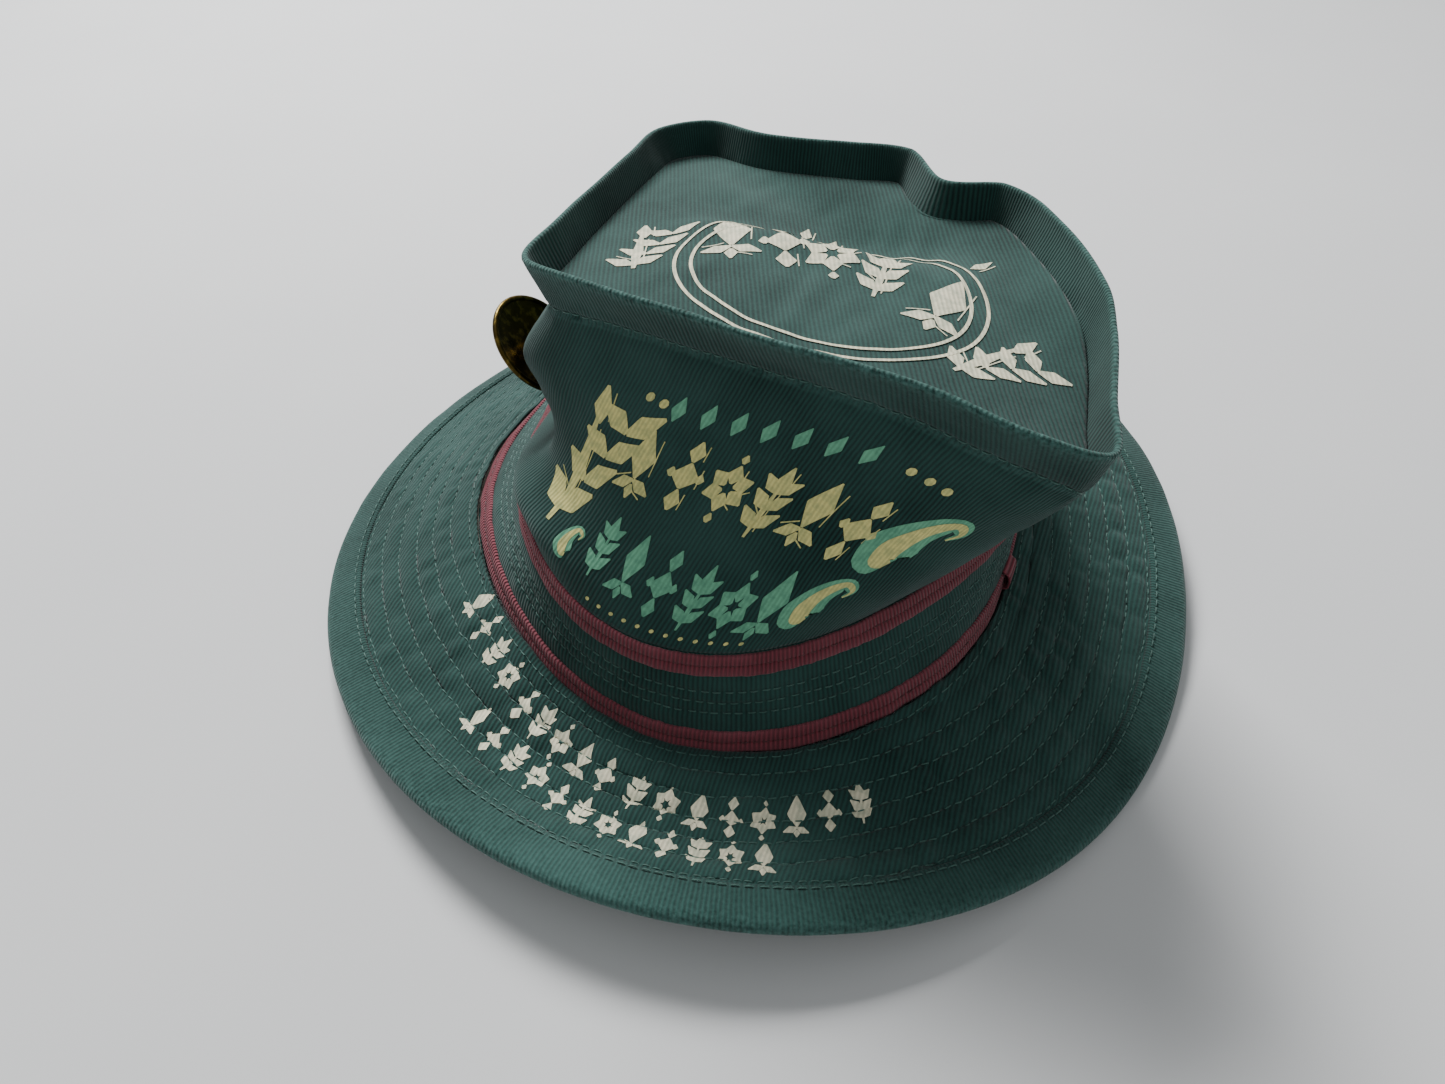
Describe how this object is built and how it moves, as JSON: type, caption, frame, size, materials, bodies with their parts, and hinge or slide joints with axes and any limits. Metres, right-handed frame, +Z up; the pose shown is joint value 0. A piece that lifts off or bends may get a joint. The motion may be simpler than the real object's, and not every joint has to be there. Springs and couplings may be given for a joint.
{
  "type": "boonie hat",
  "caption": "Soft bucket-style boonie hat with a quilted brim, taped band, slumped crown with a stand-up rim, and a small dished brass badge.",
  "frame": {"origin": "under the middle of the brim, on the surface that the hat stands on", "axes": "+Z up through the crown, -Y towards the wearer's front, +X towards the wearer's left"},
  "size_m": [0.2862, 0.31, 0.1244],
  "materials": {
    "green_twill": "washed cotton twill, matt",
    "stiffener_felt": "non-woven interlining, matt",
    "teal_thread": "polyester sewing thread, slight sheen",
    "maroon_tape": "ribbed woven tape, matt",
    "dark_cotton": "plain cotton, matt",
    "white_label": "woven satin label, blank",
    "aged_brass": "aged, dark patina with a worn bright edge"
  },
  "bodies": {
    "hat_base": {"brim_top": "green_twill", "brim_stiffener": "stiffener_felt", "brim_under": "green_twill", "brim_hem": "green_twill", "brim_quilting": "teal_thread", "hem_stitching": "teal_thread", "base_band": "green_twill", "band_stitching": "teal_thread", "lower_tape": "maroon_tape", "upper_tape": "maroon_tape", "tape_stitching": "maroon_tape", "tape_keeper": "maroon_tape", "sweatband": "dark_cotton", "sweatband_binding": "maroon_tape", "size_label": "white_label", "care_label": "white_label", "crown_front": "green_twill", "crown_back": "green_twill", "side_seam_binding_left": "maroon_tape", "side_seam_binding_right": "maroon_tape"},
    "crown_top": {"crown_rim": "green_twill", "rim_topstitch": "teal_thread", "crown_tip": "green_twill", "tip_seam_binding": "maroon_tape", "badge_post": "aged_brass", "badge_cap": "aged_brass", "badge_washer": "aged_brass"},
    "badge": {"badge_disc": "aged_brass"}
  },
  "joints": [
    {"name": "crown_crush", "type": "slide", "parent": "hat_base", "child": "crown_top", "axis": [0, 0, 1], "range_m": [-0.025, 0], "deforming": ["crown_front", "crown_back", "side_seam_binding_left", "side_seam_binding_right"]},
    {"name": "badge_swivel", "type": "hinge", "parent": "crown_top", "child": "badge", "pos_m": [-0.06371, -0.02767, 0.07925], "axis": [-0.741, -0.0519, -0.6695], "continuous": true}
  ]
}
